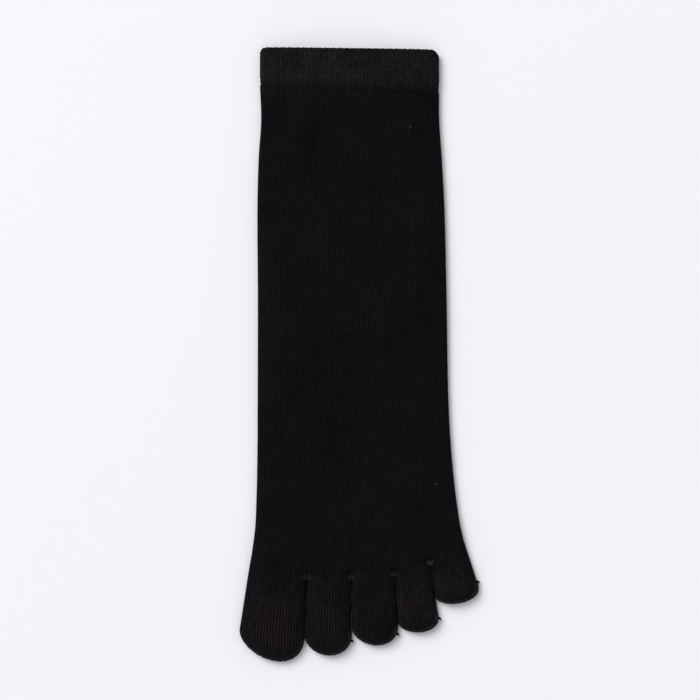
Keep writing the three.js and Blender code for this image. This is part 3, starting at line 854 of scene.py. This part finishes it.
def nose_places(reach, rows):
    """How far out each point of a nose lies, and how near to its curved edge, both 0 to 1."""
    out = np.sqrt(1 - reach**2) * np.sin(np.pi / 2 * np.arange(rows + 1) / rows)[:, None]
    return out, np.minimum(1, np.hypot(out, reach))


def nose_fade(reach, rows):
    """Share of the furrows' depth on a nose, which fades to nothing at the curved edge."""
    return near_middle(nose_places(reach, rows)[1], EDGE_FADE_POWER)


def nose_plan(toe, across, out, length):
    """Plan place on a nose: across is in mm from its middle line, out is 0 to 1 from root to tip."""
    centre, side, _ = toe_ends(toe, 1)
    leaned = across + toe["tip"] / toe["nose"] * np.abs(out) ** NOSE_BEND * length
    x = centre[0] + side[0] * leaned + side[1] * out * length
    y = centre[1] + side[1] * leaned - side[0] * out * length
    return x, y


def toe_rings(toe, inset, reach, upper, straight_rows, nose_rows, root_shift):
    """Rings of a toe sleeve from its root to its tip. reach is -1 to 1 across the sleeve."""
    made = []
    travelled = []
    radius = TOE_FOLD_RADIUS - inset
    for station in np.linspace(0, 1, straight_rows):
        centre, side, half = toe_ends(toe, station)
        fade = 1 - smooth_step(station, 0, ROOT_SHIFT_END)
        x = centre[0] + side[0] * reach * (half - inset) + root_shift[0] * fade
        y = centre[1] + side[1] * reach * (half - inset) + root_shift[1] * fade
        top = toe_height(toe, reach, station, inset) + toe_relief(x, y, reach, inset)
        bottom = TOE_FOLD_RADIUS - fold_rise((half - inset) * (1 - abs(reach)), radius)
        made.append(points_at(x, y, np.where(upper, top, bottom)))
        travelled.append(np.full(len(reach), toe["straight"] * station))
    half = toe_ends(toe, 1)[2] - inset
    length = toe["nose"] * TOE_LENGTH - inset
    rags = np.sin(reach * NOSE_RAG_TURNS[0] + half) + np.sin(reach * NOSE_RAG_TURNS[1])
    ragged = length * (1 + NOSE_RAGGED * rags / 2)
    out_rows, far_rows = nose_places(reach, nose_rows)
    for out, far in zip(out_rows[1:], far_rows[1:]):
        x, y = nose_plan(toe, reach * half, out, ragged)
        top = toe_height(toe, far, 1, inset)
        if inset == 0:
            distance = (1 - far) * (half + (length - half) * out**2)
            dip = seam_dip(distance, smooth_step(out, *SEAM_START))
            top = top + cloth_wave(x, y) * near_middle(far) - dip * near_middle(far, SEAM_FADE_POWER)
        bottom = TOE_FOLD_RADIUS - fold_rise(half * (1 - far), radius)
        made.append(points_at(x, y, np.where(upper, top, bottom)))
        travelled.append(toe["straight"] + out * length)
    return np.stack(made), np.stack(travelled)


def knit_bag(node, inner, outer, ribs, depth, courses=None, tone_and_highlight=1.0):
    """A knitted bag from the rings of its inner and outer face, each ordered from root to tip."""
    name = node + "_knit"
    rings = np.concatenate([inner[::-1], outer])
    rims = (len(inner) - 1, len(inner))
    ribs = sway_ribs(ribs, rings)
    rings[len(inner):] = press_furrows(outer, ribs[len(inner):, :-1], depth)
    if courses is None:
        courses = (rings[:, :, 1] + CUFF_HEIGHT) / COURSE
    mesh = ring_mesh(name, rings, ribs, courses, closed=False, sharp_rings=rims, tone_and_highlight=tone_and_highlight)
    add_piece(name, mesh, knit, (node,))


# %% [markdown]
# Five toes
# A toe's columns are the foot's own columns between its two slits, so that each rib runs on from the
# instep into the toe without a step. A few more columns round off the two sides, spaced evenly by
# height, because the side of a toe is nearly upright. The first ring lies exactly on the foot's last
# one.

# %% Toe sleeves
SIDE_REACH = 0.965  # beyond this share of the half width, a toe's side is made of extra columns
TOE_ROW_STEP = 1.6


def toe_columns(toe):
    """Reach of each column across a toe, its number of ribs, and its shift on to the foot's edge."""
    centre, side, half = toe_ends(toe, 0)
    x, y = tube_plan(1.0, places)
    reach = reach_across(toe, 0, x, y)
    inside = abs(reach) < SIDE_REACH
    reach, x, y = reach[inside], x[inside], y[inside]
    shift = (x - centre[0] - side[0] * reach * half, y - centre[1] - side[1] * reach * half)
    crown = toe["puff"] * TOE_THICKNESS - TOE_FOLD_RADIUS
    sides = []
    for edge in (reach[0], reach[-1]):
        height = np.sqrt(1 - abs(edge) ** ROUNDNESS)
        steps = max(2, int(round(height * crown * RIBS * RIB_COLUMNS / BALL_WIDTH)))
        sides.append((1 - (height * (1 - np.arange(1, steps + 1) / steps)) ** 2) ** (1 / ROUNDNESS))
    whole = np.concatenate([-sides[0][::-1], reach, sides[1]])
    first = np.argmax(inside) - len(sides[0])
    ribs = (first + np.arange(len(whole))) / RIB_COLUMNS
    return whole, ribs, np.stack([around(np.interp(whole, reach, part)) for part in shift])


def make_toe(toe):
    whole, ribs, shift = toe_columns(toe)
    reach, upper = ring_around(whole)
    ring_ribs = np.concatenate([ribs, 2 * ribs[-1] - ribs[-2::-1]])
    straight = int(round(toe["straight"] / TOE_ROW_STEP)) + 1
    outer, outer_run = toe_rings(toe, 0, reach, upper, straight, NOSE_ROWS, shift)
    inner, inner_run = toe_rings(toe, KNIT_WALL, reach, upper, INNER_ROWS, INNER_NOSE_ROWS, shift * 0)
    edge_fade = np.concatenate([np.ones((straight, len(reach))), nose_fade(reach, NOSE_ROWS)[1:]])
    depth = TOE_FURROW_DEPTH + (toe["furrow"] - TOE_FURROW_DEPTH) * smooth_step(outer_run, 0, TOE_BLEND)
    run = np.concatenate([inner_run[::-1], outer_run])
    # The painted crest highlight goes from the toe line's strength to the toe's own.
    tone_and_highlight = ROOT_HIGHLIGHT + (toe["tone_and_highlight"] - ROOT_HIGHLIGHT) * smooth_step(run.mean(axis=1), 0, TOE_BLEND)
    courses = -(TUBE_LENGTH + run) / COURSE
    knit_bag(toe["name"], inner, outer, ring_ribs, depth * edge_fade, courses, tone_and_highlight)


for toe in TOES:
    make_toe(toe)

# %% [markdown]
# The heel pocket
# The pouch hides under the leg, but it is there when the sock is turned over. It has the same ribs,
# and its open side meets the fold where leg and foot part.

# %% Heel pocket
HEEL_RIBS = 96
HEEL_RIB_COLUMNS = 2
HEEL_ROWS = 30


def heel_rings(inset, nose_rows, reach, upper):
    fold = -CUFF_HEIGHT - HEEL_FROM_CUFF + KNIT_WALL / 2 + JOINT_GAP
    centre = tube_plan(HEEL_FROM_CUFF / TUBE_LENGTH, 0.0)[0]
    half = HEEL_WIDTH / 2 - inset
    length = HEEL_DEPTH - JOINT_GAP - KNIT_WALL / 2 - inset
    out, far = nose_places(reach, nose_rows)
    rise = fold_rise(half * (1 - far), HEEL_THICKNESS / 2 - inset)
    height = HEEL_THICKNESS / 2 + np.where(upper, rise, -rise)
    x = np.broadcast_to(centre - half * reach, out.shape)
    return points_at(x, fold + length * out, height)


heel_places = np.sin(np.linspace(-np.pi / 2, np.pi / 2, HEEL_RIBS * HEEL_RIB_COLUMNS + 1))
reach, upper = ring_around(heel_places)
heel_ribs = np.arange(len(reach) + 1) / HEEL_RIB_COLUMNS + 0.5
outer = heel_rings(0, HEEL_ROWS, reach, upper)
inner = heel_rings(KNIT_WALL, INNER_NOSE_ROWS, reach, upper)
depth = FURROW_DEPTH * nose_fade(reach, HEEL_ROWS)
knit_bag("heel_pocket", inner, outer, heel_ribs, depth)

# %% [markdown]
# The cuff, a folded welt
# The welt is the knitting folded double over elastic yarn. It is thicker than the leg and a little
# greyer, because the elastic shows between the stitches. Its rings run down the outside, round the
# lower edge, up the inside and over the rounded lip. The mouth's two corners are rounded, the far one
# more, and the lower edge slopes down to the little toe's side. A row of linking stitches above it
# holds the fold down and leaves a shallow groove, and so does the fold line just below the lip.

# %% Cuff
CUFF_GROOVES = [(2.3, 0.4, 0.22), (16.5, 0.5, 0.3)]  # distance from the top, width, depth
LIP_RADIUS = CUFF_WALL / 2
LIP_WAVE = 0.14
WELT_COURSE = 1.2  # length of one row of stitches in the welt
WELT_FURROW_DEPTH = 0.2
CORNER_LEFT = 2.2
CORNER_RIGHT = 3.8
CORNER_FADE = 10.0  # how far down the rows of knitting still bend with the mouth's corners
HEM_TAPER = 0.7  # the hem thins down to the leg by this much
HEM_TAPER_LENGTH = 3.0
HEM_ROUND = 0.35
HEM_FADE = 0.6  # how much the painted highlight on the welt's crests fades towards the hem, so they get darker
HEM_FADE_LENGTH = 5.0
PUCKER_FROM = 8.0  # the upper layer puckers from here down to the hem
PUCKER_HEIGHT = 0.12
FINE_PUCKER_HEIGHT = 0.1
CUFF_ROW_STEP = 0.5
CUFF_INNER_ROWS = 9
QUARTER_POINTS = 6  # points along each quarter turn of the wall's section
cuff_crown = CUFF_THICKNESS - 2 * (CUFF_WALL + JOINT_GAP)
cuff_end = CUFF_HEIGHT - JOINT_GAP


def groove_depth(down):
    return sum(depth * np.exp(-(((down - top) / width) ** 2)) for top, width, depth in CUFF_GROOVES)


def cuff_path():
    """Places down the cuff and in from its outer face, in order round the wall."""
    quarter = np.linspace(0, np.pi / 2, QUARTER_POINTS)
    turn = quarter[1:]
    lip = [(CUFF_CORNER * (1 - np.cos(t)), LIP_RADIUS * (1 - np.sin(t))) for t in quarter]
    face = np.arange(CUFF_CORNER + CUFF_ROW_STEP, cuff_end - HEM_ROUND, CUFF_ROW_STEP)
    taper = HEM_TAPER * smooth_step(face, cuff_end - HEM_TAPER_LENGTH, cuff_end)
    outside = list(zip(face, groove_depth(face) + taper))
    last = outside[-1][1]
    hem = list(zip(cuff_end - HEM_ROUND * (1 - np.sin(turn)), last + HEM_ROUND * (1 - np.cos(turn))))
    inside = [(place, CUFF_WALL) for place in np.linspace(cuff_end, LIP_RADIUS, CUFF_INNER_ROWS)]
    fold = list(zip(LIP_RADIUS * (1 - np.sin(turn)), CUFF_WALL - LIP_RADIUS * (1 - np.cos(turn))))
    return np.array(lip + outside + hem + inside + fold[:-1]).T


def cuff_ring(down, inset, across, upper):
    edge = CUFF_WIDTH / 2 - inset
    rise = fold_rise(edge * (1 - abs(across)), max(CUFF_WALL + JOINT_GAP - inset, JOINT_GAP))
    x = drift_at(0.0) + edge * across
    high = max(0, 1 - down / CUFF_HEIGHT)
    radius = np.where(across < 0, CORNER_LEFT, CORNER_RIGHT)
    corner = radius - fold_rise(CUFF_WIDTH / 2 * (1 - abs(across)), radius)
    waver = LIP_WAVE * (1 + ripple(x, (3.7, 0.0), (2.3, 1.0)) / 2)
    mouth = high * (CUFF_SLOPE * (across + 1) / 2 + waver) + corner * max(0, 1 - down / CORNER_FADE)
    y = -down - mouth - cuff_drop(across) * smooth_step(down, CUFF_HEIGHT / 2, cuff_end)
    pucker = PUCKER_HEIGHT * ripple(x, (6.1, 0.7)) + FINE_PUCKER_HEIGHT * ripple(x, (3.9, 0.0))
    pucker = pucker * near_middle(across) * upper * smooth_step(down, PUCKER_FROM, CUFF_HEIGHT)
    height = np.where(upper, rise + cuff_crown * puff_share(across), -rise)
    return points_at(x, y, CUFF_WALL + JOINT_GAP + height + pucker)


downs, insets = cuff_path()
rings = np.stack([cuff_ring(down, inset, ring_across, ring_upper) for down, inset in zip(downs, insets)])
ribs = sway_ribs(tube_ribs, rings)
rings = press_furrows(rings, ribs[:, :-1], WELT_FURROW_DEPTH)
steps = np.hypot(np.diff(downs, prepend=downs[0]), np.diff(insets, prepend=insets[0]))
rows = np.cumsum(steps) / WELT_COURSE
tone_and_highlight = 1 - HEM_FADE * smooth_step(downs, cuff_end - HEM_FADE_LENGTH, cuff_end)
mesh = ring_mesh("cuff_welt", rings, ribs, -rows, closed=True, tone_and_highlight=tone_and_highlight)
add_piece("cuff_welt", mesh, welt, ("cuff",))

# %% [markdown]
# Stitches between the toes and at the tips
# Each slit ends in a few tight stitches that hold the two toes together and leave loose loops, each
# nose is closed by a seam of small slanting stitches just inside its edge, and the last yarn of a toe
# is run in beside its tip, where it leaves a knot. All of these are threads: a round section swept
# along a short path that lies on the sock.

# %% Threads
THREAD_SIDES = 6
THREAD_COURSE = 0.5  # rows of stitches on the map from one point of a thread to the next
ALMOST_UP = (0.12, 0.25, 0.96)  # leans a little, so that no thread runs along it


def thread_rings(path, radius):
    """Closed rings round a path of points, drawn together to a point at both ends."""
    ahead = unit(np.gradient(path, axis=0))
    sideways = unit(np.cross(ahead, ALMOST_UP))
    lift = np.cross(sideways, ahead)
    turn = np.arange(THREAD_SIDES) * 2 * np.pi / THREAD_SIDES
    section = np.cos(turn)[:, None] * sideways[:, None] + np.sin(turn)[:, None] * lift[:, None]
    rings = path[:, None] + radius * section
    ends = np.repeat(path[[0, -1], None], THREAD_SIDES, axis=1)
    return np.concatenate([ends[:1], rings, ends[1:]])


def thread_piece(name, paths, radius, material):
    """One object made of several threads."""
    parts = []
    for number, path in enumerate(paths):
        rings = thread_rings(path, radius)
        ribs = np.arange(THREAD_SIDES + 1) / THREAD_SIDES
        courses = np.arange(len(rings)) * THREAD_COURSE
        mesh = ring_mesh(f"{name}_{number}", rings, ribs, courses, closed=False)
        parts.append(put_in_scene(mesh.name, mesh))
    with bpy.context.temp_override(active_object=parts[0], selected_editable_objects=parts):
        bpy.ops.object.join()
    mesh = parts[0].data
    bpy.data.objects.remove(parts[0])
    add_piece(name, mesh, material)


def arch(count):
    """Heights of a thread that rises between its two ends."""
    return np.sin(np.linspace(0, np.pi, count))


def foot_height(x, y):
    """Height of the instep near the toe line at a place in plan."""
    along = (-CUFF_HEIGHT - y) / TUBE_LENGTH
    across = np.linspace(-1, 1, 1201)
    ring = tube_ring(along, 0, across, True)
    return np.interp(x, ring[:, 0], ring[:, 2])


LOOPS = 9  # loose loops at each web
LOOP_POINTS = 9
LOOP_SPREAD = 2.2
LOOP_LENGTH = 2.7
LOOP_RISE = 0.15
LOOP_RADIUS = 0.14

web_paths = []
for toe in TOES[:-1]:
    web_x, web_y = tube_plan(1.0, toe["to"])
    for number in range(LOOPS):
        turn = np.pi * (0.2 + 0.55 * (number + chance.uniform(0.2, 0.8)) / LOOPS)
        start = LOOP_SPREAD * chance.uniform(-0.5, 0.5)
        run = np.linspace(0, LOOP_LENGTH * chance.uniform(0.5, 1.2), LOOP_POINTS)
        bend = chance.uniform(-0.5, 0.5) * arch(LOOP_POINTS)
        path_x = web_x + start + run * np.cos(turn) - bend * np.sin(turn)
        path_y = web_y + 0.5 + run * np.sin(turn) + bend * np.cos(turn)
        height = np.array([foot_height(px, py) for px, py in zip(path_x, path_y)])
        web_paths.append(points_at(path_x, path_y, height + LOOP_RISE * arch(LOOP_POINTS)))
thread_piece("web_stitches", web_paths, LOOP_RADIUS, thread)

STITCH_STEP = 1.25
STITCH_FROM = 0.75  # both ends of a stitch, measured in from the toe's edge
STITCH_TO = 1.7
STITCH_SLANT = 0.5
STITCH_POINTS = 6
STITCH_RISE = 0.2
STITCH_RADIUS = 0.22
SEAM_END = 0.47 * np.pi  # turn from a toe's middle line at which its seam ends

seam_paths = []
for toe in TOES:
    half = toe_ends(toe, 1)[2]
    length = toe["nose"] * TOE_LENGTH
    count = int(np.pi * (half + length) / 2 / STITCH_STEP)
    for turn in np.linspace(-SEAM_END, SEAM_END, count) + chance.uniform(-0.015, 0.015, count):
        size = half + (length - half) * np.cos(turn) ** 2
        end = STITCH_TO + chance.uniform(-0.25, 0.25)
        far = 1 - np.linspace(STITCH_FROM, end, STITCH_POINTS) / size
        slant = STITCH_SLANT * chance.uniform(0.3, 1.6) / size
        slanted = turn + np.linspace(-0.5, 0.5, STITCH_POINTS) * slant
        reach, out = far * np.sin(slanted), far * np.cos(slanted)
        x, y = nose_plan(toe, reach * half, out, length)
        z = toe_height(toe, far, 1) + cloth_wave(x, y) + STITCH_RISE * arch(STITCH_POINTS)
        seam_paths.append(points_at(x, y, z))
thread_piece("nose_seams", seam_paths, STITCH_RADIUS, thread)

TIP_KNOTS = [(1, 1.12, 20), (2, 1.2, 35), (3, 1.3, 25), (4, 1.52, 15)]  # toe, turn, drop in degrees
KNOT_LENGTH = 1.9
KNOT_COIL = 0.55
KNOT_TURNS = 2.5
KNOT_POINTS = 25
KNOT_RADIUS = 0.34
KNOT_RISE = 0.3  # above the toe's fold
KNOT_BEHIND = 0.35  # share of a knot that lies on the toe

knot_paths = []
for number, turn, drop in TIP_KNOTS:
    toe = TOES[number]
    across = toe_ends(toe, 1)[2] * np.sin(turn)
    start = nose_plan(toe, across, np.cos(turn), toe["nose"] * TOE_LENGTH)
    ahead = (np.cos(radians(drop)), -np.sin(radians(drop)))
    run = np.linspace(0, 1, KNOT_POINTS)
    coil = KNOT_COIL * (1 - run / 2)
    swing = 2 * np.pi * KNOT_TURNS * run
    length = KNOT_LENGTH * (run - KNOT_BEHIND)
    path_x = start[0] + ahead[0] * length - ahead[1] * coil * np.cos(swing)
    path_y = start[1] + ahead[1] * length + ahead[0] * coil * np.cos(swing)
    path_z = TOE_FOLD_RADIUS + KNOT_RISE + coil * np.sin(swing)
    knot_paths.append(points_at(path_x, path_y, path_z))
thread_piece("tip_knots", knot_paths, KNOT_RADIUS, knit)
